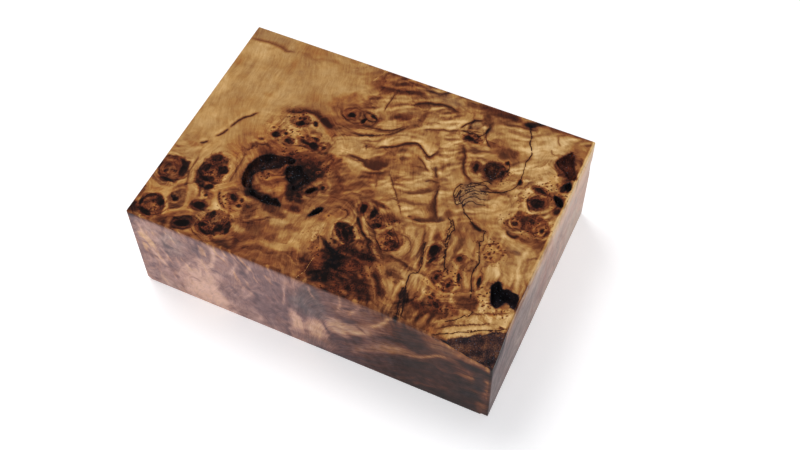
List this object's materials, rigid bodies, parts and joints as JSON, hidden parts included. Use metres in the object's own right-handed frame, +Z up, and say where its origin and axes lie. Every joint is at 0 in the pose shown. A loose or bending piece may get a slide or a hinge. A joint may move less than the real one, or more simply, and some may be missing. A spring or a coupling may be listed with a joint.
{
  "type": "stabilized burl block",
  "caption": "Sawn and polished rectangular block of resin-stabilised burl wood, with one waney bark corner and natural voids in its top face.",
  "frame": {"origin": "centre of the flat underside", "axes": "+X along the block's length towards the waney corner, +Y across its width away from the waney long face, +Z up through its thickness to the face with the voids"},
  "size_m": [0.127, 0.0886, 0.0405],
  "materials": {
    "burl_wood": "sanded and polished, satin gloss"
  },
  "bodies": {
    "root": {"burl_block": "burl_wood"}
  },
  "joints": []
}
